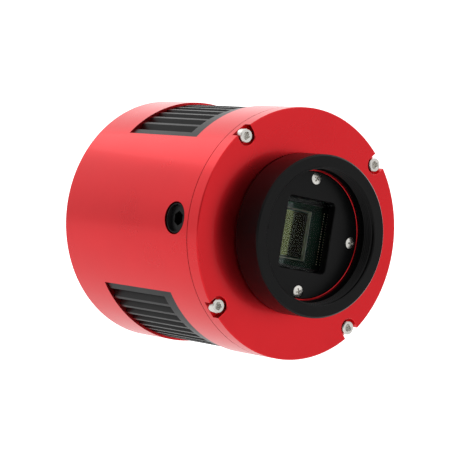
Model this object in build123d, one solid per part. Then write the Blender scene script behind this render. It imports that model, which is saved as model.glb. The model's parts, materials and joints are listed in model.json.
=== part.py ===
from build123d import *
from math import cos, radians, sin, sqrt
import os

# Cooled astronomy camera: a round body with a screw-on M42 ring, a sealed sensor chamber,
# a two-stage Peltier cooler, a finned heat sink and a rear fan.
#
# Millimetres. +Y runs from the front to the back along the optical axis, +Z is up, and the
# origin is the centre of the ring's front face, where a telescope adapter seats.
# Angles are measured about the optical axis from +X towards +Z.

os.makedirs("parts", exist_ok=True)

# ---- driving dimensions ------------------------------------------------------------------
BODY_R = 39.0                 # outer radius of the round body
TOTAL_Y = 86.0                # overall length, ring included
SHELL_END_Y = 83.0
WALL = 1.9
SHELL_R = BODY_R - WALL       # bore of the shell

RING_LEN = 11.0               # the ring and its shim, from the front face to the plate
RING_R = 25.0
SHIM_T = 0.3
THREAD_R = 21.0               # M42 x 0.75, drawn plain
THREAD_PITCH = 0.75
THREAD_END_Y = 5.2            # back of the ring's front thread
RELIEF_R = 21.5               # undercut behind it
SHOULDER_R, SHOULDER_Y = 20.1, (6.2, 6.6)   # stop between the ring's two threads
SLIP = 0.05                   # radial clearance of a running thread, drawn plain

PLATE_Y = RING_LEN            # front face of the red plate
FLANGE_T = 5.0                # visible band of the front housing
SEAM_Y = PLATE_Y + FLANGE_T   # where the front housing meets the shell
SEAM_GAP, SEAM_DEPTH = 0.25, 0.7     # groove left open at the seam
SPIGOT_L = 1.0                # how far the housing reaches into the shell
NECK_Y = 6.9                  # front of the threaded neck inside the ring
NECK_BORE_R = 19.7
NECK_R = THREAD_R - SLIP

PLATE_FRONT_Y = 7.0           # aperture plate
PLATE_BACK_Y = 10.0
APERTURE = (18.5, 22.0)       # x, z
APERTURE_SCREW_R = 17.5
WINDOW_R, WINDOW_Y, WINDOW_T = 16.0, 10.2, 2.0
SEAT_BORE_R, SEAT_R = 15.0, 17.5     # ring behind the window
SEAT_Y, CHAMBER_Y = 13.2, 14.2
CHAMBER_R = 26.0
HOUSING_R = 33.0              # sensor chamber's outer radius inside the shell

SINK_Y = 31.0                 # front of the heat sink, which closes the chamber
SINK_BASE_T = 4.0
SINK_BACK_Y = SINK_Y + SINK_BASE_T
SINK_SCREW_R = 29.5
FIN_END_Y = 70.0
SINK_FINS, SINK_FIN_PITCH, SINK_FIN_T, SINK_FIRST_X = 18, 2.9, 1.0, -30.4

SENSOR_Y = 17.5               # image plane: 17.5 behind the ring's front face
PACKAGE_Y, BOARD_Y = 17.9, 19.4
BOARD_T = 1.6
FINGER_Y = BOARD_Y + BOARD_T
COVER_GLASS_Y = 16.4
COVER_GLASS_T = 0.5
BOARD_POSTS = [(x, z) for x in (-18.0, 18.0) for z in (-15.0, 15.0)]

CORNERS = (45, 135, 225, 315)
QUARTERS = (0, 90, 180, 270)
CAP_R, CAP_H = 2.2, 2.5       # M2.5 socket cap screw head
M25_R = 1.25
TAPPED_R = M25_R + 0.02       # tapped hole for it, drawn plain
FRONT_SCREW_R = 36.7
NOTCH_W, NOTCH_DEPTH = 5.8, 2.8
REAR_SCREW_R = 33.2
REAR_LUG_Y = (71.5, 80.5)
REAR_SINK_DEPTH = 2.2         # how deep the rear screws' heads sit
APERTURE_SCREW = (6.0, 1.85, 1.0, 0.95, 0.3)   # length, head radius and depth, shank, dome
FAN_SCREW = (9.0, 2.7, 1.5, 1.5, 0.0)

VENT_Y = (30.2, 66.3)         # vent windows in the shell
VENT_HALF = 51.8              # half their angle
GRILLE_R = (36.3, 38.3)
FIN_PITCH, FIN_T, SLOTS = 2.875, 0.7, 20
GRILLE_FRONT_BORDER = 5.9

PORT_Y, PORT_ANGLE = 23.1, 182.7     # desiccant port
PORT_R = 5.0
BOSS_R, BOSS_FACE = 7.6, 36.0        # the port's boss; distance of its face from the axis
PLUG_HEAD_R, PLUG_SHANK_R = 4.65, 3.45
PLUG_HEAD = (37.0, 38.6)      # from the underside to the top, along the port's axis
PLUG_DISH = (4.1, 1.15)       # radius and depth
PLUG_SOCKET = (4.0, 2.4)      # hexagon across flats, and depth below the dish
PLUG_END = 30.5

FAN_X, FAN_SIZE, FAN_Y = -6.0, 40.0, (73.0, 83.0)
FAN_BORE_R, FAN_HOLE = 19.0, 16.0
HUB_R, BLADES = 10.5, 7
SHAFT_R, BEARING_R, FAN_TUBE_R = 1.0, 1.88, 3.2

MAIN_X, MAIN_Y, MAIN_Z = (28.0, 29.6), (44.0, 80.3), 20.0
BRACKET_Y, BRACKET_Z = 46.5, 15.5    # its two screws
CONNECTOR_END_Y = TOTAL_Y - 0.1
USB3_X, USB3_Z = (16.0, 28.0), 0.9
USB2_X, USB2_Z = (14.3, 28.0), -13.0
DC_X, DC_Z = 22.6, 13.2
FLEX_X, LEAD_Z = 22.4, 11.5   # where the ribbon and the cooler's leads pass the sink
COOLER_SOCKET_Y = (50.2, 52.4)


# ---- helpers -----------------------------------------------------------------------------
def turned(*points):
    """Solid of revolution about the optical axis from (radius, y) corners."""
    return revolve(make_face(Polyline(*points, close=True)), axis=Axis.Y)


def ring(r_in, r_out, y0, y1):
    return turned((r_in, y0), (r_out, y0), (r_out, y1), (r_in, y1))


def spun(shape, angle):
    """Turns a shape about the optical axis, from +X towards +Z."""
    return Rot(0, -angle, 0) * shape


def sector(r_in, r_out, y0, y1, a0, a1):
    """Part of a ring from angle a0 to a1."""
    face = make_face(Polyline((r_in, y0), (r_out, y0), (r_out, y1), (r_in, y1), close=True))
    return spun(revolve(face, axis=Axis.Y, revolution_arc=a1 - a0), a1)


def rod(r, y0, y1, x=0.0, z=0.0):
    return Pos(x, (y0 + y1) / 2, z) * Rot(90, 0, 0) * Cylinder(r, y1 - y0)


def block(x0, x1, y0, y1, z0, z1):
    return Pos((x0 + x1) / 2, (y0 + y1) / 2, (z0 + z1) / 2) * Box(x1 - x0, y1 - y0, z1 - z0)


def plate(x_size, z_size, y0, y1, corner=0.0, x=0.0, z=0.0):
    """Rectangle across the optical axis, with rounded corners, from y0 to y1."""
    sketch = RectangleRounded(x_size, z_size, corner) if corner else Rectangle(x_size, z_size)
    return Pos(x, y1, z) * extrude(Plane.XZ * sketch, y1 - y0)


def torus_about_axis(major, minor, y):
    return Pos(0, y, 0) * Rot(90, 0, 0) * Torus(major, minor)


def around(r, angles):
    """The (x, z) places at a radius and some angles about the optical axis."""
    return [(r * cos(radians(a)), r * sin(radians(a))) for a in angles]


def copies(shape, places, turn=0.0):
    """A shape at each (x, z) place, each copy turned a little further about its own axis."""
    return [Pos(x, 0, z) * Rot(0, turn * k, 0) * shape for k, (x, z) in enumerate(places)]


def joined(shapes):
    first, *others = shapes
    return first + others if others else first


def radial(shape):
    """Takes a shape drawn along +Z from the axis out to the desiccant port's place."""
    return Pos(0, PORT_Y, 0) * spun(Rot(0, 90, 0) * shape, PORT_ANGLE)


def radial_rod(r, d0, d1):
    return radial(Pos(0, 0, (d0 + d1) / 2) * Cylinder(r, d1 - d0))


def cross_rod(r, x0, x1, y, z):
    """Cylinder along X."""
    return Pos((x0 + x1) / 2, y, z) * Rot(0, 90, 0) * Cylinder(r, x1 - x0)


def wire(points, bend, r):
    """A round lead along straight runs joined by arcs."""
    path = FilletPolyline(*points, radius=bend)
    return sweep(Plane(origin=path @ 0, z_dir=path % 0) * Circle(r), path=path)


# ---- screws ------------------------------------------------------------------------------
def hexagon_cut(across_flats, y0, y1):
    hexagon = RegularPolygon(across_flats / 2, 6, major_radius=False)
    return Pos(0, y1, 0) * extrude(Plane.XZ * hexagon, y1 - y0)


def cap_screw(length, head_r=CAP_R, head_h=CAP_H, shank_r=M25_R, socket=2.0):
    """Socket cap screw whose seat is at y = 0 and whose shank runs to +y."""
    edge, tip, mouth = 0.25, 0.4, socket / 2 + 0.25
    head = turned((0, -head_h), (head_r - edge, -head_h), (head_r, edge - head_h),
                  (head_r, 0), (0, 0))
    shank = turned((0, 0), (shank_r, 0), (shank_r, length - tip), (shank_r - tip, length),
                   (0, length))
    bevel = turned((0, -head_h), (mouth, -head_h), (0, mouth - head_h))
    return head + shank - hexagon_cut(socket, -head_h, -head_h * 0.45) - bevel


def cross_screw(length, head_r, head_h, shank_r, dome):
    """Countersunk cross-recess screw: its rim is at y = 0, its dome towards -y, its shank
    towards +y."""
    rim, arm, arm_w, deep = 0.12, head_r * 0.56, head_r * 0.26, head_h * 0.6
    body = turned((0, 0), (head_r - rim / 2, 0), (head_r, rim), (shank_r, head_h),
                  (shank_r, length), (0, length))
    if dome:
        crown_r = head_r - rim / 2
        ball_r = (crown_r ** 2 + dome ** 2) / (2 * dome)
        middle = (crown_r / 2, ball_r - dome - sqrt(ball_r ** 2 - crown_r ** 2 / 4))
        arc = ThreePointArc((0, -dome), middle, (crown_r, 0))
        crown = make_face(arc.edges() + Polyline((crown_r, 0), (0, 0), (0, -dome)).edges())
        body += revolve(crown, axis=Axis.Y)
    cross = [plate(2 * arm, arm_w, -dome, deep), plate(arm_w, 2 * arm, -dome, deep)]
    return body - cross


def backward(shape):
    """Turns a screw round so that it is driven from the back."""
    return Rot(180, 0, 0) * shape


# ---- front: ring, housing, aperture plate, window ----------------------------------------
def extension_ring():
    mouth, edge, foot_y = 0.3, 0.5, RING_LEN - SHIM_T
    rear_r, (stop_front, stop_back) = THREAD_R + SLIP, SHOULDER_Y
    runout = RELIEF_R - THREAD_R
    return turned(
        (THREAD_R + mouth, 0), (RING_R - edge, 0), (RING_R, edge), (RING_R, foot_y - mouth),
        (RING_R - mouth, foot_y), (rear_r + mouth, foot_y), (rear_r, foot_y - mouth),
        (rear_r, stop_back + 2 * runout), (rear_r + runout, stop_back + runout),
        (rear_r + runout, stop_back), (SHOULDER_R, stop_back), (SHOULDER_R, stop_front),
        (RELIEF_R, stop_front), (RELIEF_R, THREAD_END_Y + runout), (THREAD_R, THREAD_END_Y),
        (THREAD_R, mouth))


def ring_shim():
    clear, inset = 0.15, 0.6
    return ring(THREAD_R + clear, RING_R - inset, RING_LEN - SHIM_T, RING_LEN)


def notch_cut():
    """U-shaped pocket at the flange's rim, open to the side, with a bevelled mouth."""
    bevel, reach = 0.25, 10.0

    def u_shape(width):
        tongue = Pos(FRONT_SCREW_R + reach / 2, 0) * Rectangle(reach, width)
        return Pos(FRONT_SCREW_R, 0) * Circle(width / 2) + tongue

    pocket = extrude(Plane.XZ * u_shape(NOTCH_W), NOTCH_DEPTH + 1)
    mouth = extrude(Plane.XZ * u_shape(NOTCH_W + 2 * bevel), -bevel, taper=45)
    return Pos(0, PLATE_Y + NOTCH_DEPTH, 0) * pocket + Pos(0, PLATE_Y, 0) * mouth


def front_housing():
    edge, lead, clear = 0.3, 0.1, 0.15
    spigot_r, spigot_end = SHELL_R - clear, SEAM_Y + SPIGOT_L
    seat_r, window_r = SEAT_R + SLIP, WINDOW_R + lead
    solid = turned(
        (NECK_BORE_R + lead, NECK_Y), (NECK_R - THREAD_PITCH, NECK_Y),
        (NECK_R, NECK_Y + THREAD_PITCH), (NECK_R, PLATE_Y), (BODY_R - edge, PLATE_Y),
        (BODY_R, PLATE_Y + edge), (BODY_R, SEAM_Y), (spigot_r, SEAM_Y),
        (spigot_r, spigot_end), (HOUSING_R, spigot_end), (HOUSING_R, SINK_Y),
        (CHAMBER_R, SINK_Y), (CHAMBER_R, CHAMBER_Y), (seat_r, CHAMBER_Y), (seat_r, SEAT_Y),
        (window_r, SEAT_Y), (window_r, PLATE_BACK_Y), (NECK_BORE_R, PLATE_BACK_Y),
        (NECK_BORE_R, NECK_Y + lead))
    boss = radial_rod(BOSS_R, CHAMBER_R + 1, BOSS_FACE)
    solid += boss - ring(0, CHAMBER_R + 0.5, PLATE_BACK_Y, SINK_Y)
    cuts = [spun(notch_cut(), a) for a in CORNERS]
    cuts += copies(rod(M25_R + 0.1, PLATE_Y, spigot_end + 1), around(FRONT_SCREW_R, CORNERS))
    cuts += copies(rod(1.0, PLATE_BACK_Y, SEAT_Y - 0.1), around(APERTURE_SCREW_R, QUARTERS))
    cuts += copies(rod(TAPPED_R, SINK_Y - 5, SINK_Y), around(SINK_SCREW_R, CORNERS))
    cuts += [radial_rod(PLUG_SHANK_R + SLIP, CHAMBER_R - 3, BOSS_FACE + 1)]
    return solid - cuts


def aperture_plate():
    r, edge, bevel, sink_r, hole_r, corner = NECK_BORE_R - 0.1, 0.12, 0.25, 1.95, 1.05, 1.2
    solid = turned((0, PLATE_FRONT_Y), (r - edge, PLATE_FRONT_Y), (r, PLATE_FRONT_Y + edge),
                   (r, PLATE_BACK_Y), (0, PLATE_BACK_Y))
    solid -= plate(*APERTURE, PLATE_FRONT_Y - 1, PLATE_BACK_Y + 1, corner=corner)
    front = solid.faces().sort_by(Axis.Y)[0]
    solid = chamfer(front.inner_wires()[0].edges(), bevel)
    hole = turned((0, PLATE_FRONT_Y - 1), (sink_r, PLATE_FRONT_Y - 1),
                  (sink_r, PLATE_FRONT_Y + 0.2), (hole_r, PLATE_FRONT_Y + 1.1),
                  (hole_r, PLATE_BACK_Y + 1), (0, PLATE_BACK_Y + 1))
    return solid - copies(hole, around(APERTURE_SCREW_R, QUARTERS))


def aperture_screws():
    screw = Pos(0, PLATE_FRONT_Y + 0.05, 0) * cross_screw(*APERTURE_SCREW)
    return copies(screw, around(APERTURE_SCREW_R, QUARTERS), turn=23)


def protect_window():
    edge, back = 0.2, WINDOW_Y + WINDOW_T
    return turned((0, WINDOW_Y), (WINDOW_R - edge, WINDOW_Y), (WINDOW_R, WINDOW_Y + edge),
                  (WINDOW_R, back - edge), (WINDOW_R - edge, back), (0, back))


def window_oring():
    section_r = (SEAT_Y - WINDOW_Y - WINDOW_T) / 2
    return torus_about_axis(15.55, section_r, SEAT_Y - section_r)


def window_seat():
    """Black ring pressed into the housing behind the window, which its O-ring bears on."""
    return ring(SEAT_BORE_R, SEAT_R, SEAT_Y, CHAMBER_Y)


def front_screws():
    screw = Pos(0, PLATE_Y + NOTCH_DEPTH, 0) * cap_screw(10.0)
    return copies(screw, around(FRONT_SCREW_R, CORNERS), turn=17)


# ---- desiccant port ----------------------------------------------------------------------
def desiccant_plug():
    (low, top), (dish_r, dish_depth), (across_flats, socket_depth) = PLUG_HEAD, PLUG_DISH, PLUG_SOCKET
    edge, tip, floor = 0.2, 0.4, top - dish_depth
    profile = [(0, PLUG_END), (PLUG_SHANK_R - tip, PLUG_END), (PLUG_SHANK_R, PLUG_END + tip),
               (PLUG_SHANK_R, low), (PLUG_HEAD_R, low), (PLUG_HEAD_R, top - edge),
               (PLUG_HEAD_R - edge, top), (dish_r + 0.1, top), (dish_r - 0.3, floor), (0, floor)]
    face = make_face(Polyline(*[(r, 0, d) for r, d in profile], close=True))
    hexagon = RegularPolygon(across_flats / 2, 6, major_radius=False)
    socket = Pos(0, 0, floor - socket_depth) * extrude(hexagon, socket_depth)
    return radial(revolve(face, axis=Axis.Z) - socket)


def plug_oring():
    section_r = (PLUG_HEAD[0] - BOSS_FACE) / 2
    return radial(Pos(0, 0, BOSS_FACE + section_r) * Torus(PLUG_SHANK_R + 0.55, section_r))


def desiccant_tablets():
    thick, inner_end = 1.8, 26.4
    return [radial_rod(3.1, d, d + thick) for d in (inner_end, inner_end + thick + 0.2)]


# ---- shell and vent grilles --------------------------------------------------------------
def body_shell():
    edge, lug_front, lug_end = 0.5, SEAM_Y + SPIGOT_L + 0.2, 27.0
    solid = turned(
        (SHELL_R, SEAM_Y), (BODY_R - SEAM_DEPTH, SEAM_Y), (BODY_R - SEAM_DEPTH, SEAM_Y + SEAM_GAP),
        (BODY_R, SEAM_Y + SEAM_GAP), (BODY_R, SHELL_END_Y - edge), (BODY_R - edge, SHELL_END_Y),
        (SHELL_R, SHELL_END_Y))
    lugs = copies(rod(3.1, lug_front, lug_end), around(FRONT_SCREW_R - 0.3, CORNERS))
    lugs += copies(rod(3.2, *REAR_LUG_Y), around(REAR_SCREW_R + 0.4, CORNERS))
    lugs += [sector(REAR_SCREW_R, SHELL_R + 0.3, *REAR_LUG_Y, a - 5, a + 5) for a in CORNERS]
    solid += joined(lugs) & ring(28.0, SHELL_R + 0.3, lug_front, REAR_LUG_Y[1])
    cuts = [sector(SHELL_R - 3, BODY_R + 1, *VENT_Y, a - VENT_HALF, a + VENT_HALF)
            for a in (90, 270)]
    cuts += copies(rod(TAPPED_R, SEAM_Y, lug_end - 1), around(FRONT_SCREW_R, CORNERS))
    cuts += copies(rod(TAPPED_R, 70.0, SHELL_END_Y), around(REAR_SCREW_R, CORNERS))
    cuts += [radial_rod(PORT_R, SHELL_R - 1, BODY_R + 1)]
    return solid - cuts


def vent_grille(centre):
    """Curved insert with straight slots along the body, clipped in from inside the shell."""
    gap_y, gap_angle, lip_y, lip_angle = 0.15, 0.25, 1.6, 2.5
    r_in, r_out = GRILLE_R
    half = VENT_HALF - gap_angle
    front, back = VENT_Y[0] + gap_y, VENT_Y[1] - gap_y
    raised = sector(r_in, r_out, front, back, 90 - half, 90 + half)
    flange = sector(r_in, SHELL_R - 0.05, VENT_Y[0] - lip_y, VENT_Y[1] + lip_y,
                    90 - half - lip_angle, 90 + half + lip_angle)
    slots = [block(k * FIN_PITCH + FIN_T / 2, (k + 1) * FIN_PITCH - FIN_T / 2,
                   VENT_Y[0] + GRILLE_FRONT_BORDER, VENT_Y[1] + gap_y, 15, BODY_R)
             for k in range(-SLOTS // 2, SLOTS // 2)]
    return spun(raised + flange - slots, centre - 90)


def vent_grille_top():
    return vent_grille(90)


def vent_grille_bottom():
    return vent_grille(270)


# ---- sensor chamber ----------------------------------------------------------------------
def sensor_baffle():
    front, back, opening = 14.7, 16.2, (34.4, 19.6)
    solid = ring(0, CHAMBER_R - 0.4, front, back) - plate(*opening, front - 1, back + 1, corner=1.0)
    return solid - copies(rod(1.9, front - 1, back + 1), BOARD_POSTS)


def dew_heater():
    return ring(SEAT_BORE_R + 0.4, SEAT_BORE_R + 5.4, CHAMBER_Y + 0.02, CHAMBER_Y + 0.3)


def board_posts():
    post = rod(1.8, CHAMBER_Y, BOARD_Y) - rod(0.9, CHAMBER_Y + 1.5, BOARD_Y)
    return copies(post, BOARD_POSTS)


def sensor_package():
    return plate(33.0, 21.0, PACKAGE_Y, BOARD_Y, corner=0.5)


def sensor_die():
    return plate(14.4, 14.0, SENSOR_Y, PACKAGE_Y)


def sensor_frame():
    front = COVER_GLASS_Y + COVER_GLASS_T
    return plate(15.8, 15.6, front, PACKAGE_Y) - plate(14.9, 14.7, front - 1, PACKAGE_Y)


def sensor_cover_glass():
    return plate(15.6, 15.4, COVER_GLASS_Y, COVER_GLASS_Y + COVER_GLASS_T, corner=0.3)


def sensor_board():
    """Round board with a square opening, through which the cooler reaches the package."""
    solid = ring(0, 24.6, BOARD_Y, FINGER_Y)
    opening = plate(14.0, 14.0, BOARD_Y - 1, FINGER_Y + 1, corner=1.0)
    return solid - [opening, *copies(rod(1.05, BOARD_Y - 1, FINGER_Y + 1), BOARD_POSTS)]


def sensor_board_screws():
    screw = backward(cap_screw(4.5, head_r=1.7, head_h=1.3, shank_r=0.85, socket=1.3))
    return copies(Pos(0, FINGER_Y, 0) * screw, BOARD_POSTS)


# ---- cooler ------------------------------------------------------------------------------
PAD_BACK_Y = BOARD_Y + 0.4
FINGER_BASE_Y = 22.4
COOLER_Y = (25.6, 26.4, 27.8, 28.6, 30.2, SINK_Y)   # faces of the three ceramic plates
THERMISTOR_HOLE = (7.0, 10.0, 23.2, 24.8, 0.85)     # x, y, and half its height


def thermal_pad():
    return plate(12.6, 12.6, BOARD_Y, PAD_BACK_Y)


def cold_finger():
    x0, x1, y0, y1, half_z = THERMISTOR_HOLE
    top = plate(13.0, 13.0, PAD_BACK_Y, FINGER_BASE_Y, corner=0.6)
    base = plate(19.0, 19.0, FINGER_BASE_Y, COOLER_Y[0], corner=0.8)
    return top + base - block(x0, x1, y0, y1, -half_z, half_z)


def thermistor():
    clear = 0.1
    x0, x1, y0, y1, half_z = THERMISTOR_HOLE
    half_z -= clear
    return block(x0 + clear, x1 - clear, y0 + clear, y1 - clear, -half_z, half_z)


def cooler_plates():
    """The three ceramic plates of the two-stage cooler, cold side first."""
    spans = zip((20, 26, 30), COOLER_Y[0::2], COOLER_Y[1::2])
    return [plate(side, side, y0, y1) for side, y0, y1 in spans]


def pellet_grid(count, y0, y1):
    pitch, half = 3.2, 0.7
    first = -pitch * (count - 1) / 2
    steps = [first + k * pitch for k in range(count)]
    return [block(x - half, x + half, y0, y1, z - half, z + half) for x in steps for z in steps]


def cooler_pellets():
    return pellet_grid(6, *COOLER_Y[1:3]) + pellet_grid(8, *COOLER_Y[3:5])


# ---- heat sink ---------------------------------------------------------------------------
def chamber_oring():
    return torus_about_axis(27.2, 0.5, SINK_Y + 0.5)


def heat_sink():
    half_t, tall = SINK_FIN_T / 2, HOUSING_R + 1
    places = [SINK_FIRST_X + k * SINK_FIN_PITCH for k in range(SINK_FINS)]
    fins = joined(block(x - half_t, x + half_t, SINK_BACK_Y - 0.5, FIN_END_Y, -tall, tall)
                  for x in places)
    solid = ring(0, HOUSING_R, SINK_Y, SINK_BACK_Y)
    solid += fins & ring(0, HOUSING_R, SINK_BACK_Y - 0.5, FIN_END_Y)
    through = (SINK_Y - 1, SINK_BACK_Y + 1)
    cuts = [ring(26.65, 27.75, SINK_Y - 0.5, SINK_Y + 1.0)]
    cuts += copies(rod(2.9, SINK_BACK_Y, FIN_END_Y + 1), around(SINK_SCREW_R, CORNERS))
    cuts += copies(rod(M25_R + 0.1, *through), around(SINK_SCREW_R, CORNERS))
    cuts += [block(FLEX_X - 0.7, FLEX_X + 0.7, *through, -7.6, 7.6)]
    cuts += copies(rod(0.95, *through), [(FLEX_X, -LEAD_Z), (FLEX_X, LEAD_Z)])
    return solid - cuts


def heat_sink_screws():
    screw = Pos(0, SINK_BACK_Y, 0) * backward(cap_screw(8.0))
    return copies(screw, around(SINK_SCREW_R, CORNERS))


# ---- fan ---------------------------------------------------------------------------------
FAN_FRONT, FAN_BACK = FAN_Y
FAN_PLACE = Pos(FAN_X, 0, 0)
FAN_SCREW_PLACES = [(FAN_X + sx * FAN_HOLE, sz * FAN_HOLE) for sx in (-1, 1) for sz in (-1, 1)]


def fan_frame():
    """Square duct with four arms at the back that carry the motor's tube."""
    arm_t, half_w, flange_t, base_r, tube_r = 1.6, 1.1, 2.4, 9.6, 1.9
    solid = plate(FAN_SIZE, FAN_SIZE, FAN_FRONT, FAN_BACK, corner=3.0, x=FAN_X)
    solid -= rod(FAN_BORE_R, FAN_FRONT - 1, FAN_BACK + 1, FAN_X)
    arm = block(8.0, FAN_BORE_R + 0.5, FAN_BACK - arm_t, FAN_BACK, -half_w, half_w)
    hub = joined(spun(arm, a) for a in (35, 125, 215, 305))
    hub += rod(base_r, FAN_BACK - arm_t, FAN_BACK) - rod(tube_r, FAN_BACK - 3, FAN_BACK - 0.6)
    hub += ring(tube_r, FAN_TUBE_R, FAN_FRONT + 2.4, FAN_BACK - 1.0)
    solid += FAN_PLACE * hub
    waist = plate(FAN_SIZE + 2, FAN_SIZE + 2, FAN_FRONT + flange_t, FAN_BACK - flange_t, x=FAN_X)
    waist -= plate(FAN_SIZE + 4, 26, FAN_FRONT, FAN_BACK, x=FAN_X)
    waist -= plate(26, FAN_SIZE + 4, FAN_FRONT, FAN_BACK, x=FAN_X)
    waist -= rod(FAN_BORE_R + 1.6, FAN_FRONT, FAN_BACK, FAN_X)
    return solid - waist - copies(rod(1.52, FAN_FRONT - 1, FAN_BACK + 1), FAN_SCREW_PLACES)


def fan_stator():
    """Laminated core with four poles, pressed on the motor's tube."""
    front, back = FAN_FRONT + 4.2, FAN_BACK - 2.8
    stem = block(4.2, 7.2, front, back, -1.1, 1.1)
    shoe = block(6.8, 8.0, front, back, -2.6, 2.6)
    poles = [spun(stem + shoe, a) for a in QUARTERS]
    core = ring(FAN_TUBE_R + SLIP, 4.6, front - 0.6, back + 0.6)
    return FAN_PLACE * (joined([core, *poles]) & ring(FAN_TUBE_R, 7.9, FAN_FRONT, FAN_BACK))


def fan_coils():
    front, back = FAN_FRONT + 3.5, FAN_BACK - 2.1
    coil = block(4.9, 6.6, front, back, -2.1, 2.1)
    coil -= block(4.0, 8.0, front + 0.65, back - 0.65, -1.15, 1.15)
    return [FAN_PLACE * spun(coil, a) for a in QUARTERS]


def fan_bearings():
    width = 2.0
    return [FAN_PLACE * ring(SHAFT_R + 0.03, BEARING_R, y, y + width)
            for y in (FAN_FRONT + 2.6, FAN_BACK - 3.2)]


def fan_shaft():
    tip, end = 0.2, FAN_BACK - 0.9
    return FAN_PLACE * turned((0, FAN_FRONT + 0.6), (SHAFT_R, FAN_FRONT + 0.6),
                              (SHAFT_R, end - tip), (SHAFT_R - tip, end), (0, end))


def fan_rotor():
    """Cup with seven swept blades, open at the back over the stator."""
    face, cup_end, wall, boss_r = FAN_FRONT + 0.3, FAN_BACK - 2.1, 0.9, BEARING_R
    cup = turned((0, face), (HUB_R - 1.0, face), (HUB_R, face + 1.0), (HUB_R, cup_end),
                 (HUB_R - wall, cup_end), (HUB_R - wall, face + 1.2), (boss_r, face + 1.2),
                 (boss_r, face + 1.9), (SHAFT_R, face + 1.9), (SHAFT_R, face + 0.3),
                 (0, face + 0.3))
    low, high, root, tip = face + 0.6, cup_end - 0.3, HUB_R - 0.5, FAN_BORE_R - 0.6
    sweep_angle, thick = 30.0, 1.1

    def station(r, share):
        """Slice of a blade at radius r: a slanted bar across the rotor's depth."""
        slant = 52.0 - 22.0 * (r - HUB_R) / (tip - HUB_R)
        across = Plane(origin=(0, (low + high) / 2, 0), x_dir=(0, 1, 0), z_dir=(1, 0, 0))
        bar = Rectangle((high - low) / cos(radians(slant)) * 0.94, thick)
        return spun(Pos(r, 0, 0) * (across * (Rot(0, 0, slant) * bar)), sweep_angle * share)

    blade = loft([station(root, 0), station((HUB_R + tip) / 2, 1 / 3), station(tip, 0.8)])
    blade &= ring(root, tip, low, high)
    blades = [spun(blade, 360 / BLADES * k) for k in range(BLADES)]
    return FAN_PLACE * joined([cup, *blades])


def fan_magnet():
    return FAN_PLACE * ring(8.3, HUB_R - 0.95, FAN_FRONT + 3.4, FAN_BACK - 2.2)


def fan_screws():
    screw = Pos(0, TOTAL_Y, 0) * backward(cross_screw(*FAN_SCREW))
    return copies(screw, FAN_SCREW_PLACES)


# ---- rear cover --------------------------------------------------------------------------
def fan_guard_cut():
    """Ring-shaped slots in the cover over the fan, crossed by spokes."""
    slot_w, half_spoke = 2.2, 1.1
    front, back = SHELL_END_Y - 1, TOTAL_Y + 1
    slots = joined(ring(r, r + slot_w, front, back) for r in (5.6, 9.2, 12.8, 16.4))
    spoke = block(4.0, 19.5, front - 1, back + 1, -half_spoke, half_spoke)
    return FAN_PLACE * (slots - joined(spun(spoke, a) for a in range(0, 360, 60)))


def rear_cover():
    """Plate over the shell's end, with a skirt inside the shell."""
    skirt_y, skirt_in, skirt_r, rim_r, edge = SHELL_END_Y - 2.5, 34.6, SHELL_R - 0.15, 36.0, 0.5
    solid = turned((0, SHELL_END_Y), (skirt_in, SHELL_END_Y), (skirt_in, skirt_y),
                   (skirt_r, skirt_y), (skirt_r, SHELL_END_Y + 0.6), (rim_r, SHELL_END_Y + 0.6),
                   (rim_r, TOTAL_Y - edge), (rim_r - edge, TOTAL_Y), (0, TOTAL_Y))
    rear_places = around(REAR_SCREW_R, CORNERS)
    solid += joined(copies(rod(3.4, skirt_y, SHELL_END_Y + 0.5), rear_places))
    front, back = SHELL_END_Y - 1, TOTAL_Y + 1
    fan_hole = turned((0, front), (1.65, front), (1.65, TOTAL_Y - 1.55), (2.85, TOTAL_Y - 0.2),
                      (2.85, back), (0, back))
    cuts = [fan_guard_cut(), *copies(fan_hole, FAN_SCREW_PLACES)]
    cuts += copies(rod(M25_R + 0.15, skirt_y - 1, back), rear_places)
    cuts += copies(rod(CAP_R + 0.25, TOTAL_Y - REAR_SINK_DEPTH, back), rear_places)
    cuts += [plate(14.1, 13.6, front, back, corner=0.5, x=sum(USB2_X) / 2, z=USB2_Z)]
    cuts += [plate(12.4, 12.6, front, back, corner=0.6, x=sum(USB3_X) / 2, z=USB3_Z)]
    cuts += [rod(4.7, front, back, DC_X, DC_Z)]
    cuts += [block(DC_X - 5, DC_X + 5.8, front, SHELL_END_Y + 1.0, DC_Z - 4.9, DC_Z + 4.9)]
    return solid - cuts


def rear_screws():
    screw = backward(cap_screw(10.0, head_h=REAR_SINK_DEPTH - 0.1))
    return copies(Pos(0, TOTAL_Y - REAR_SINK_DEPTH, 0) * screw,
                  around(REAR_SCREW_R, CORNERS), turn=11)


# ---- main board and its sockets ----------------------------------------------------------
BOARD_FACE, BOARD_BACK = MAIN_X      # the side that carries the parts, and the other


def main_board():
    solid = block(*MAIN_X, *MAIN_Y, -MAIN_Z, MAIN_Z)
    return solid - [cross_rod(1.1, BOARD_FACE - 1, BOARD_BACK + 1, BRACKET_Y, z)
                    for z in (-BRACKET_Z, BRACKET_Z)]


def on_board(height, y0, y1, z0, z1):
    """A box that stands on the main board's face."""
    return block(BOARD_FACE - height, BOARD_FACE, y0, y1, z0, z1)


def board_chips():
    """Memory and control chips, a regulator and a power inductor."""
    return [on_board(1.3, 54, 65, -8.5, 2.5), on_board(1.0, 54.6, 59.6, 9.4, 14.4),
            on_board(1.0, 61.0, 66.0, 10.6, 16.5), on_board(1.1, 55, 60.5, -18, -12),
            on_board(2.6, 62.5, 67.5, -18.5, -13)]


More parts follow.
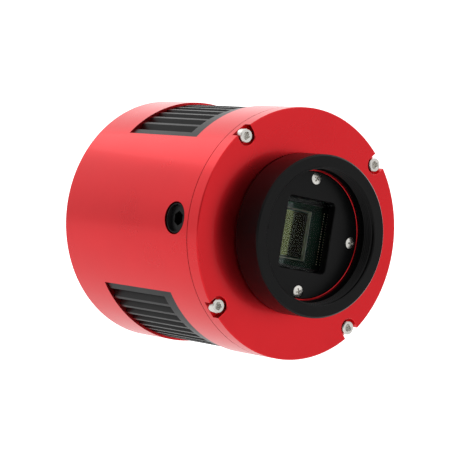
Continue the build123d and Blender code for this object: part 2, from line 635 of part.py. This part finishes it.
def board_bracket(z):
    """Angle that stands on the heat sink and carries a corner of the main board."""
    half_w, thick, foot_x, leg_end = 2.4, 1.2, 22.6, 49.5
    foot = block(foot_x, BOARD_FACE, SINK_BACK_Y, SINK_BACK_Y + thick, z - half_w, z + half_w)
    leg = block(BOARD_FACE - thick, BOARD_FACE, SINK_BACK_Y, leg_end, z - half_w, z + half_w)
    return foot + leg - cross_rod(1.0, BOARD_FACE - 3, BOARD_FACE + 1, BRACKET_Y, z)


def board_brackets():
    return [board_bracket(z) for z in (-BRACKET_Z, BRACKET_Z)]


def board_screws():
    screw = Rot(0, 0, 90) * cap_screw(4.2, head_r=1.7, head_h=1.3, shank_r=0.95, socket=1.3)
    return [Pos(BOARD_BACK, BRACKET_Y, z) * screw for z in (-BRACKET_Z, BRACKET_Z)]


def usb3_shell():
    """Sheet-metal shell of the USB 3 type B socket, open at the back."""
    wall, front = 0.35, 70.5
    (x0, x1), half_z = USB3_X, 6.1
    shell = block(x0, x1, front, CONNECTOR_END_Y, USB3_Z - half_z, USB3_Z + half_z)
    inside = block(x0 + wall, x1 - wall, front + 2.0, TOTAL_Y + 1,
                   USB3_Z - half_z + wall, USB3_Z + half_z - wall)
    return shell - inside


def usb3_tongues():
    """Its insert: the square mouth with a tongue, and the narrower part above."""
    front, end, mouth_x = 72.5, TOTAL_Y - 1.0, 23.2
    filler = plate(11.2, 11.4, front, end - 0.4, x=sum(USB3_X) / 2, z=USB3_Z)
    mouth = plate(8.6, 9.0, front + 2, end + 1, corner=0.8, x=mouth_x, z=USB3_Z)
    upper = plate(2.6, 6.4, front + 2, end + 1, x=18.1, z=USB3_Z)
    tongue = plate(3.2, 5.8, front, end - 0.8, x=mouth_x, z=USB3_Z)
    return filler - mouth - upper + tongue


def usb2_shell():
    """Double USB 2 type A socket: one shell with two mouths."""
    front, half_z, mouth_half_z = 70.5, 6.6, 6.25
    solid = block(*USB2_X, front, CONNECTOR_END_Y, USB2_Z - half_z, USB2_Z + half_z)
    mouths = [block(x0, x0 + 5.2, front + 2, TOTAL_Y + 1, USB2_Z - mouth_half_z,
                    USB2_Z + mouth_half_z) for x0 in (USB2_X[1] - 13.1, USB2_X[1] - 5.8)]
    return solid - mouths


def usb2_tongues():
    half_z, thick = 5.6, 1.9
    return [block(x0, x0 + thick, 72.5, TOTAL_Y - 1.5, USB2_Z - half_z, USB2_Z + half_z)
            for x0 in (USB2_X[1] - 12.4, USB2_X[1] - 5.1)]


def dc_jack():
    """5.5 mm power socket: a square body with a round nose."""
    half_z, bore_r, bore_y = 4.6, 3.15, 74.5
    body = block(17.8, BOARD_FACE, 72.0, SHELL_END_Y + 0.8, DC_Z - half_z, DC_Z + half_z)
    nose = rod(4.5, 75, CONNECTOR_END_Y, DC_X, DC_Z)
    return body + nose - rod(bore_r, bore_y, TOTAL_Y + 1, DC_X, DC_Z)


def dc_pin():
    r, tip, front, end = 1.05, 0.6, 74.5, TOTAL_Y - 2.0
    pin = turned((0, front), (r, front), (r, end - tip), (r - 0.35, end), (0, end))
    return Pos(DC_X, 0, DC_Z) * pin


# ---- leads -------------------------------------------------------------------------------
def flex_cable():
    """Flat ribbon from the sensor board, through the sink, to the main board."""
    thick, width, end_x = 0.3, 14.0, BOARD_FACE - 1.4
    path = FilletPolyline((FLEX_X, FINGER_Y + 1.5, 0), (FLEX_X, 39.0, 0), (end_x, 42.5, 0),
                          (end_x, 47.5, 0), radius=2.5)
    section = Plane(origin=path @ 0, x_dir=(1, 0, 0), z_dir=path % 0) * Rectangle(thick, width)
    return sweep(section, path=path)


def flex_sockets():
    return [on_board(1.9, 47.6, 50.6, -8.2, 8.2),
            block(FLEX_X - 1.1, FLEX_X + 1.1, FINGER_Y, FINGER_Y + 1.4, -8.0, 8.0)]


def cooler_leads():
    start = (COOLER_Y[3] + COOLER_Y[4]) / 2
    end_x = BOARD_FACE - 2.6
    return [wire([(15.1, start, z), (FLEX_X, start, z), (FLEX_X, 40.0, z), (end_x, 44.5, z),
                  (end_x, COOLER_SOCKET_Y[0], z)], 2.2, 0.6) for z in (-LEAD_Z, LEAD_Z)]


def cooler_sockets():
    return [on_board(4.2, *COOLER_SOCKET_Y, z - 1.6, z + 1.6) for z in (-LEAD_Z, LEAD_Z)]


def fan_lead():
    z, turn_y, end_y = 7.8, 71.4, 68.3
    start_x = FAN_X + FAN_SIZE / 2 - 1.0
    return wire([(start_x, FAN_FRONT, z), (start_x, turn_y, z), (20.6, turn_y, z),
                 (22.4, end_y, z), (BOARD_FACE - 3.0, end_y, z)], 0.9, 0.5)


def fan_socket():
    return on_board(3.0, 66.7, 69.9, 6.0, 9.6)


# ---- export ------------------------------------------------------------------------------
NODES = [
    extension_ring, ring_shim, front_housing, aperture_plate, aperture_screws, protect_window,
    window_oring, window_seat, front_screws, desiccant_plug, plug_oring, desiccant_tablets,
    body_shell, vent_grille_top, vent_grille_bottom, sensor_baffle, dew_heater, board_posts,
    sensor_package, sensor_die, sensor_frame, sensor_cover_glass, sensor_board,
    sensor_board_screws, thermal_pad, cold_finger, thermistor, cooler_plates, cooler_pellets,
    chamber_oring, heat_sink, heat_sink_screws, fan_frame, fan_stator, fan_coils, fan_bearings,
    fan_shaft, fan_rotor, fan_magnet, fan_screws, rear_cover, rear_screws, main_board,
    board_chips, board_brackets, board_screws, usb3_shell, usb3_tongues, usb2_shell,
    usb2_tongues, dc_jack, dc_pin, flex_cable, flex_sockets, cooler_leads, cooler_sockets,
    fan_lead, fan_socket,
]

for make in NODES:
    shape = make()
    pieces = shape if isinstance(shape, list) else [shape]
    solids = [solid for piece in pieces for solid in piece.solids()]
    whole = solids[0] if len(solids) == 1 else Compound(children=solids)
    export_step(whole, f"parts/{make.__name__}.step")
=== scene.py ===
"""Cooled astronomy camera: materials, fine detail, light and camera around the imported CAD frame.

Everything is in metres in the frame of the CAD model: +Y runs back along the optical axis,
+Z is up, and the origin is the centre of the front ring's rim.
"""
import json
import math

import bmesh
import bpy
from mathutils import Matrix, Vector


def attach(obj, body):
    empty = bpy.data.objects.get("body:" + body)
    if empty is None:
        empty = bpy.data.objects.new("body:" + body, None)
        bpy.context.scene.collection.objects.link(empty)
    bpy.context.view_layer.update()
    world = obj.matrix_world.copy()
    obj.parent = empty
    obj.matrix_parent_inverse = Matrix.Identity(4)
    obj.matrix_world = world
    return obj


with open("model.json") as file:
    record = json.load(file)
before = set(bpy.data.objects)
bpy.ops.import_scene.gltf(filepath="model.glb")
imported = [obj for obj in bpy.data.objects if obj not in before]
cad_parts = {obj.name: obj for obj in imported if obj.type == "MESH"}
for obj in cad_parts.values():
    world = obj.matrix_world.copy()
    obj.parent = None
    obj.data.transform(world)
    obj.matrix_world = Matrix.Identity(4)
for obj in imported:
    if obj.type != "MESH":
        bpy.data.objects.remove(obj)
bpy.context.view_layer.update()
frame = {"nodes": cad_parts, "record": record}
NODES = frame["nodes"]
MM = 0.001

# Detail that is modelled here, in millimetres
THREAD_PITCH, THREAD_HEIGHT = 0.75, 0.42
THREAD_ROOT, THREAD_FLANK, THREAD_CREST = 0.02, 0.47, 0.06   # flank and crest in pitches
THREAD_STEPS, THREAD_FADE = 128, 20       # steps in a turn, and steps over which an end fades
RING_THREAD = (21.0, 0.35, 5.15)          # radius and y range
BOND_COLUMNS = (14.0, 15.4)               # x of the sensor package's bond pads
BOND_PITCH, BOND_END = 0.8, 8.0
BOND_HALF, BOND_FACE_Y, BOND_PROUD, BOND_SUNK = 0.17, 17.9, 0.03, 0.1
BOARD_X = 28.0                            # face of the main board that carries the chips
CHIPS = ((54, 65, -8.5, 2.5), (54.6, 59.6, 9.4, 14.4), (55, 60.5, -18, -12))  # y and z ranges
PASSIVE_X = (27.4, BOARD_X)
CONTACT_T = 0.08
USB3_Z, USB3_FACES_X, USB3_Y = 0.9, (21.6, 24.88), (77.0, 83.8)
USB2_Z, USB2_FACES_X, USB2_Y = -13.0, (17.5, 24.8), (76.5, 84.0)

# Camera of the reference photograph
CAMERA_AT = (-0.43779, -0.52920, -0.02807)
CAMERA_FORWARD = (0.60520, 0.79521, 0.03711)
CAMERA_UP = (-0.15193, 0.06962, 0.98594)
CAMERA_LENS, SENSOR_WIDTH = 177.11, 36.0

# Light and floor
AMBIENT_STRENGTH, SWEEP_STRENGTH = 1.2, 1.65   # of the surroundings and of the white backdrop
KEY_AT, KEY_TARGET, KEY_SIZE, KEY_POWER = (-0.35, 0.75, 0.75), (0, 0.04, 0), (0.6, 0.6), 0.9
FLOOR_HALF, FLOOR_Z = 1.2, -0.2


# ---- materials ---------------------------------------------------------------------------
def new_material(name):
    """A Principled material with its node tree, shader and object coordinates."""
    material = bpy.data.materials.new(name)
    material.use_nodes = True
    tree = material.node_tree
    shader = tree.nodes["Principled BSDF"]
    coords = tree.nodes.new("ShaderNodeTexCoord").outputs["Object"]
    return material, tree, shader, coords


def noise(tree, coords, scale, detail=3.0, stretch=(1, 1, 1)):
    """Noise with a feature size of about 1/scale metres, stretched along the axes."""
    mapping = tree.nodes.new("ShaderNodeMapping")
    mapping.inputs["Scale"].default_value = stretch
    texture = tree.nodes.new("ShaderNodeTexNoise")
    texture.inputs["Scale"].default_value = scale
    texture.inputs["Detail"].default_value = detail
    tree.links.new(coords, mapping.inputs["Vector"])
    tree.links.new(mapping.outputs["Vector"], texture.inputs["Vector"])
    return texture.outputs["Fac"]


def ramp(tree, value, stops):
    """Colour ramp from (position, colour) stops."""
    node = tree.nodes.new("ShaderNodeValToRGB")
    elements = node.color_ramp.elements
    while len(elements) < len(stops):
        elements.new(0.5)
    for element, (position, colour) in zip(elements, stops):
        element.position = position
        element.color = (*colour, 1.0)
    tree.links.new(value, node.inputs["Fac"])
    return node.outputs["Color"]


def spread(tree, value, low, high):
    """Maps a texture's middle range to low..high."""
    node = tree.nodes.new("ShaderNodeMapRange")
    node.inputs["From Min"].default_value = 0.3
    node.inputs["From Max"].default_value = 0.7
    node.inputs["To Min"].default_value = low
    node.inputs["To Max"].default_value = high
    tree.links.new(value, node.inputs["Value"])
    return node.outputs["Result"]


def bump(tree, shader, height, distance, strength=1.0, after=None):
    """Bump of the given height in metres, chained after an earlier one."""
    node = tree.nodes.new("ShaderNodeBump")
    node.inputs["Strength"].default_value = strength
    node.inputs["Distance"].default_value = distance
    tree.links.new(height, node.inputs["Height"])
    if after is not None:
        tree.links.new(after, node.inputs["Normal"])
    tree.links.new(node.outputs["Normal"], shader.inputs["Normal"])
    return node.outputs["Normal"]


def shaded(colour, factor):
    return tuple(min(1.0, c * factor) for c in colour)


def surface(name, colour, metallic, roughness, grain=2500, grain_height=6e-6, patch=60,
            tone=0.08, rough_spread=0.05, coat=0.0, specular=0.5):
    """A fine-grained surface: grain in the bump, slow patches in the tone and roughness."""
    material, tree, shader, coords = new_material(name)
    shader.inputs["Metallic"].default_value = metallic
    shader.inputs["Coat Weight"].default_value = coat
    shader.inputs["Specular IOR Level"].default_value = specular
    patches = noise(tree, coords, patch)
    stops = [(0.3, shaded(colour, 1 - tone)), (0.7, shaded(colour, 1 + tone))]
    colours = ramp(tree, patches, stops)
    tree.links.new(colours, shader.inputs["Base Color"])
    fine = noise(tree, coords, grain, detail=2.0)
    rough = spread(tree, patches, roughness - rough_spread, roughness + rough_spread)
    tree.links.new(rough, shader.inputs["Roughness"])
    bump(tree, shader, fine, grain_height)
    return material


def anodised(name, colour, roughness, metallic=1.0):
    """Bead-blasted aluminium with a dyed oxide layer."""
    return surface(name, colour, metallic, roughness, grain=3200, grain_height=5e-6, patch=45,
                   tone=0.035, rough_spread=0.03, coat=0.15)


def turned_metal(name, colour, roughness, metallic=0.85, specular=0.5):
    """Lathe-turned finish: fine rings about the optical axis."""
    material, tree, shader, coords = new_material(name)
    shader.inputs["Metallic"].default_value = metallic
    shader.inputs["Specular IOR Level"].default_value = specular
    wave = tree.nodes.new("ShaderNodeTexWave")
    wave.wave_type = "RINGS"
    wave.rings_direction = "Y"
    wave.inputs["Scale"].default_value = 900.0
    wave.inputs["Distortion"].default_value = 0.6
    wave.inputs["Detail"].default_value = 2.0
    tree.links.new(coords, wave.inputs["Vector"])
    patches = noise(tree, coords, 90)
    colours = ramp(tree, patches, [(0.3, shaded(colour, 0.85)), (0.7, shaded(colour, 1.15))])
    tree.links.new(colours, shader.inputs["Base Color"])
    rough = spread(tree, patches, roughness - 0.04, roughness + 0.04)
    tree.links.new(rough, shader.inputs["Roughness"])
    rings = bump(tree, shader, wave.outputs["Fac"], 2.0e-6, 0.6)
    fine = noise(tree, coords, 4000, detail=2.0)
    bump(tree, shader, fine, 3e-6, 0.6, after=rings)
    return material


def window_glass():
    material, tree, shader, coords = new_material("window_glass")
    shader.inputs["Base Color"].default_value = (0.93, 0.98, 0.97, 1.0)
    shader.inputs["Transmission Weight"].default_value = 1.0
    shader.inputs["IOR"].default_value = 1.12
    smears = noise(tree, coords, 180)
    tree.links.new(spread(tree, smears, 0.0, 0.02), shader.inputs["Roughness"])
    return material


def circuit_board(name, colour):
    """Solder mask over copper: traces show as slightly raised, lighter bands."""
    material, tree, shader, coords = new_material(name)
    shader.inputs["Coat Weight"].default_value = 0.4
    shader.inputs["Roughness"].default_value = 0.35
    brick = tree.nodes.new("ShaderNodeTexBrick")
    brick.inputs["Scale"].default_value = 400.0
    brick.inputs["Mortar Size"].default_value = 0.03
    brick.inputs["Color1"].default_value = (*colour, 1.0)
    brick.inputs["Color2"].default_value = (*shaded(colour, 0.85), 1.0)
    brick.inputs["Mortar"].default_value = (*shaded(colour, 1.7), 1.0)
    tree.links.new(coords, brick.inputs["Vector"])
    tree.links.new(brick.outputs["Color"], shader.inputs["Base Color"])
    bump(tree, shader, brick.outputs["Fac"], 2e-5, 0.5)
    return material


def build_materials():
    return {
        "red_anodised": anodised("red_anodised", (0.60, 0.0155, 0.021), 0.29),
        "black_anodised": turned_metal("black_anodised", (0.0020, 0.0020, 0.0021), 0.32, 0.0,
                                       0.12),
        "bare_aluminium": turned_metal("bare_aluminium", (0.72, 0.73, 0.75), 0.34, 1.0),
        "screw_steel": surface("screw_steel", (0.60, 0.585, 0.55), 1.0, 0.26, grain=1800,
                               patch=400),
        "spring_steel": surface("spring_steel", (0.45, 0.45, 0.46), 1.0, 0.4),
        "connector_steel": surface("connector_steel", (0.74, 0.74, 0.75), 1.0, 0.22, patch=200),
        "window_glass": window_glass(),
        "seal_rubber": surface("seal_rubber", (0.018, 0.018, 0.019), 0.0, 0.65),
        "pad_rubber": surface("pad_rubber", (0.42, 0.46, 0.5), 0.0, 0.8),
        "vent_plastic": surface("vent_plastic", (0.0035, 0.0035, 0.0036), 0.0, 0.34, grain=1500,
                                grain_height=1.0e-5, specular=0.2),
        "fan_plastic": surface("fan_plastic", (0.022, 0.022, 0.024), 0.0, 0.42, grain=1200,
                               grain_height=1.2e-5),
        "socket_white": surface("socket_white", (0.8, 0.77, 0.7), 0.0, 0.5),
        "socket_black": surface("socket_black", (0.02, 0.02, 0.021), 0.0, 0.4),
        "usb3_blue": surface("usb3_blue", (0.02, 0.13, 0.55), 0.0, 0.42),
        "chip_plastic": surface("chip_plastic", (0.02, 0.02, 0.022), 0.0, 0.55),
        "board_green": circuit_board("board_green", (0.012, 0.10, 0.05)),
        "polyimide": surface("polyimide", (0.5, 0.2, 0.02), 0.0, 0.25, coat=0.5),
        "baffle_plastic": surface("baffle_plastic", (0.008, 0.008, 0.008), 0.0, 0.85),
        "desiccant": surface("desiccant", (0.85, 0.84, 0.8), 0.0, 0.9, grain=900,
                             grain_height=5e-5),
        "package_ceramic": surface("package_ceramic", (0.006, 0.03, 0.018), 0.0, 0.07,
                                   rough_spread=0.02, grain_height=5e-7),
        "sensor_silicon": surface("sensor_silicon", (0.12, 0.115, 0.05), 0.9, 0.08, tone=0.05,
                                  grain_height=5e-7, rough_spread=0.02),
        "sensor_frame_metal": surface("sensor_frame_metal", (0.80, 0.76, 0.62), 0.6, 0.5),
        "cooler_ceramic": surface("cooler_ceramic", (0.85, 0.85, 0.83), 0.0, 0.6),
        "cooler_alloy": surface("cooler_alloy", (0.3, 0.3, 0.32), 1.0, 0.4),
        "brass_post": turned_metal("brass_post", (0.72, 0.52, 0.22), 0.3, 1.0),
        "coil_copper": surface("coil_copper", (0.6, 0.22, 0.08), 0.9, 0.3, grain=3000,
                               grain_height=4e-5),
        "magnet_ferrite": surface("magnet_ferrite", (0.07, 0.07, 0.075), 0.3, 0.6),
        "lead_red": surface("lead_red", (0.45, 0.015, 0.015), 0.0, 0.4),
        "lead_black": surface("lead_black", (0.015, 0.015, 0.015), 0.0, 0.4),
    }


def dress(materials):
    """Gives every CAD node the material of its record slot."""
    for part in frame["record"]["subparts"]:
        node = NODES[part["node"]]
        node.data.materials.clear()
        node.data.materials.append(materials[part["material_slot"]])


# ---- fine detail -------------------------------------------------------------------------
def finish_piece(mesh_data, name, body, slot, materials):
    piece = bpy.data.objects.new(name, mesh_data)
    bpy.context.scene.collection.objects.link(piece)
    piece.data.materials.append(materials[slot])
    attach(piece, body)
    return piece


def boxes_piece(name, boxes, body, slot, materials):
    """One piece made of many boxes, each given as x0, x1, y0, y1, z0, z1 in millimetres."""
    shape = bmesh.new()
    for x0, x1, y0, y1, z0, z1 in boxes:
        size = Matrix.Diagonal(((x1 - x0) * MM, (y1 - y0) * MM, (z1 - z0) * MM, 1.0))
        middle = Vector(((x0 + x1) / 2, (y0 + y1) / 2, (z0 + z1) / 2)) * MM
        bmesh.ops.create_cube(shape, size=1.0, matrix=Matrix.Translation(middle) @ size)
    data = bpy.data.meshes.new(name)
    shape.to_mesh(data)
    shape.free()
    return finish_piece(data, name, body, slot, materials)


def bond_pads(materials):
    """Two columns of small pads along each side of the sensor package."""
    steps = int(2 * BOND_END / BOND_PITCH) + 1
    heights = [-BOND_END + k * BOND_PITCH for k in range(steps)]
    places = [(side * x, z) for side in (-1, 1) for x in BOND_COLUMNS for z in heights]
    front, back = BOND_FACE_Y - BOND_PROUD, BOND_FACE_Y + BOND_SUNK
    pads = [(x - BOND_HALF, x + BOND_HALF, front, back, z - BOND_HALF, z + BOND_HALF)
            for x, z in places]
    boxes_piece("bond_pads", pads, "camera", "sensor_frame_metal", materials)


def chip_legs(y0, y1, z0, z1, pitch=1.0, out=0.7, width=0.35, thick=0.3):
    """Legs along all four sides of a chip that stands on the main board's face."""
    x0, x1 = BOARD_X - thick, BOARD_X
    along_z = [z0 + pitch * (k + 0.5) for k in range(int((z1 - z0) / pitch))]
    along_y = [y0 + pitch * (k + 0.5) for k in range(int((y1 - y0) / pitch))]
    legs = [(x0, x1, y - out, y, z, z + width) for y in (y0, y1 + out) for z in along_z]
    legs += [(x0, x1, y, y + width, z - out, z) for z in (z0, z1 + out) for y in along_y]
    return legs


def board_details(materials):
    """Legs of the chips and small components on the main board."""
    legs = [leg for chip in CHIPS for leg in chip_legs(*chip)]
    boxes_piece("chip_legs", legs, "camera", "connector_steel", materials)
    small = [(*PASSIVE_X, 51.6, 52.3, z, z + 1.2) for z in range(-7, 4, 2)]
    small += [(*PASSIVE_X, 67.0, 68.2, z, z + 0.7) for z in range(-10, 3, 2)]
    boxes_piece("board_passives", small, "camera", "coil_copper", materials)


def socket_contacts(materials):
    """Contact strips on the tongues of the USB sockets."""
    strips = [(x - CONTACT_T, x, *USB3_Y, USB3_Z + z - 0.5, USB3_Z + z + 0.5)
              for x in USB3_FACES_X for z in (-1.25, 1.25)]
    strips += [(x, x + CONTACT_T, *USB2_Y, USB2_Z + z - 0.5, USB2_Z + z + 0.5)
               for x in USB2_FACES_X for z in (-3.5, -1.0, 1.0, 3.5)]
    boxes_piece("usb_contacts", strips, "camera", "brass_post", materials)


def thread_coil(name, radius, y_start, y_end, inward, body, slot, materials):
    """Ridges of a thread: a triangular section swept along a helix about the optical axis.

    inward is how far the ridge stands in from the radius.
    """
    pitch = THREAD_PITCH
    turns = (y_end - y_start) / pitch - 1
    count = int(turns * THREAD_STEPS)
    section = [(THREAD_ROOT, -pitch * THREAD_FLANK), (-inward, -pitch * THREAD_CREST),
               (-inward, pitch * THREAD_CREST), (THREAD_ROOT, pitch * THREAD_FLANK)]
    shape = bmesh.new()
    rows = []
    for i in range(count + 1):
        angle = 2 * math.pi * i / THREAD_STEPS
        centre = y_start + pitch / 2 + pitch * angle / (2 * math.pi)
        fade = min(1.0, i / THREAD_FADE, (count - i) / THREAD_FADE)
        row = []
        for radial, along in section:
            r = (radius + (radial * fade if radial < 0 else radial)) * MM
            row.append(shape.verts.new((r * math.cos(angle), (centre + along) * MM,
                                        r * math.sin(angle))))
        rows.append(row)
    for first, second in zip(rows, rows[1:]):
        for k in range(len(section)):
            j = (k + 1) % len(section)
            shape.faces.new((first[k], first[j], second[j], second[k]))
    shape.faces.new(rows[0])
    shape.faces.new(list(reversed(rows[-1])))
    bmesh.ops.recalc_face_normals(shape, faces=shape.faces)
    data = bpy.data.meshes.new(name)
    shape.to_mesh(data)
    shape.free()
    return finish_piece(data, name, body, slot, materials)


# ---- stage -------------------------------------------------------------------------------
def studio_world():
    """Soft white surroundings: a bright sweep behind, darker towards the front left."""
    world = bpy.data.worlds.new("studio")
    bpy.context.scene.world = world
    world.use_nodes = True
    tree = world.node_tree
    background = tree.nodes["Background"]
    direction = tree.nodes.new("ShaderNodeTexCoord").outputs["Generated"]

    def lobe(towards, stops):
        """Grey level by the angle from a direction: the ramp runs from opposite to along it."""
        dot = tree.nodes.new("ShaderNodeVectorMath")
        dot.operation = "DOT_PRODUCT"
        dot.inputs[1].default_value = Vector(towards).normalized()
        tree.links.new(direction, dot.inputs[0])
        scale = tree.nodes.new("ShaderNodeMapRange")
        scale.inputs["From Min"].default_value = -1.0
        tree.links.new(dot.outputs["Value"], scale.inputs["Value"])
        return ramp(tree, scale.outputs["Result"], [(p, (g, g, g)) for p, g in stops])

    layers = [lobe((0.0, 0.0, 1.0), [(0.0, 0.75), (0.45, 0.72), (0.62, 0.95), (1.0, 1.0)]),
              lobe((-0.8, -0.6, 0.0), [(0.0, 1.0), (0.90, 1.0), (0.97, 0.45), (1.0, 0.4)])]
    shade = layers[0]
    for layer in layers[1:]:
        mix = tree.nodes.new("ShaderNodeMix")
        mix.data_type = "RGBA"
        mix.blend_type = "MULTIPLY"
        mix.inputs["Factor"].default_value = 1.0
        tree.links.new(shade, mix.inputs["A"])
        tree.links.new(layer, mix.inputs["B"])
        shade = mix.outputs["Result"]
    # the sweep that stands behind the object as the camera sees it
    sweep = lobe(CAMERA_FORWARD, [(0.0, 0.0), (0.8, 0.0), (0.95, 1.0), (1.0, 1.0)])
    lighter = tree.nodes.new("ShaderNodeMix")
    lighter.data_type = "RGBA"
    lighter.blend_type = "LIGHTEN"
    lighter.inputs["Factor"].default_value = 1.0
    tree.links.new(shade, lighter.inputs["A"])
    tree.links.new(sweep, lighter.inputs["B"])
    tree.links.new(lighter.outputs["Result"], background.inputs["Color"])
    strength = tree.nodes.new("ShaderNodeMapRange")
    strength.inputs["To Min"].default_value = AMBIENT_STRENGTH
    strength.inputs["To Max"].default_value = SWEEP_STRENGTH
    tree.links.new(sweep, strength.inputs["Value"])
    tree.links.new(strength.outputs["Result"], background.inputs["Strength"])


def softbox(name, at, target, size, power):
    light = bpy.data.lights.new(name, "AREA")
    light.shape = "RECTANGLE"
    light.size, light.size_y = size
    light.energy = power
    lamp = bpy.data.objects.new(name, light)
    lamp.location = at
    lamp.rotation_euler = (Vector(target) - Vector(at)).to_track_quat("-Z", "Y").to_euler()
    bpy.context.scene.collection.objects.link(lamp)


def studio():
    studio_world()
    softbox("key", KEY_AT, KEY_TARGET, KEY_SIZE, KEY_POWER)
    floor = bpy.data.meshes.new("floor")
    corners = [(x * FLOOR_HALF, y * FLOOR_HALF, FLOOR_Z)
               for x, y in ((-1, -1), (1, -1), (1, 1), (-1, 1))]
    floor.from_pydata(corners, [], [(0, 1, 2, 3)])
    floor_object = bpy.data.objects.new("floor", floor)
    bpy.context.scene.collection.objects.link(floor_object)
    paint = surface("floor_paint", (0.95, 0.95, 0.95), 0.0, 0.7, grain=300, grain_height=1e-5,
                    tone=0.01)
    floor.materials.append(paint)


def photo_camera():
    data = bpy.data.cameras.new("photo_camera")
    data.lens = CAMERA_LENS
    data.sensor_width = SENSOR_WIDTH
    data.clip_start = 0.01
    forward, up = Vector(CAMERA_FORWARD).normalized(), Vector(CAMERA_UP)
    right = forward.cross(up).normalized()
    up = right.cross(forward)
    place = Matrix((right, up, -forward)).transposed().to_4x4()
    place.translation = CAMERA_AT
    camera = bpy.data.objects.new("photo_camera", data)
    camera.matrix_world = place
    bpy.context.scene.collection.objects.link(camera)
    bpy.context.scene.camera = camera


def main():
    bpy.context.scene.view_settings.view_transform = "Standard"
    materials = build_materials()
    dress(materials)
    thread_coil("ring_thread", *RING_THREAD, THREAD_HEIGHT, "ring", "black_anodised", materials)
    bond_pads(materials)
    board_details(materials)
    socket_contacts(materials)
    studio()
    photo_camera()


main()
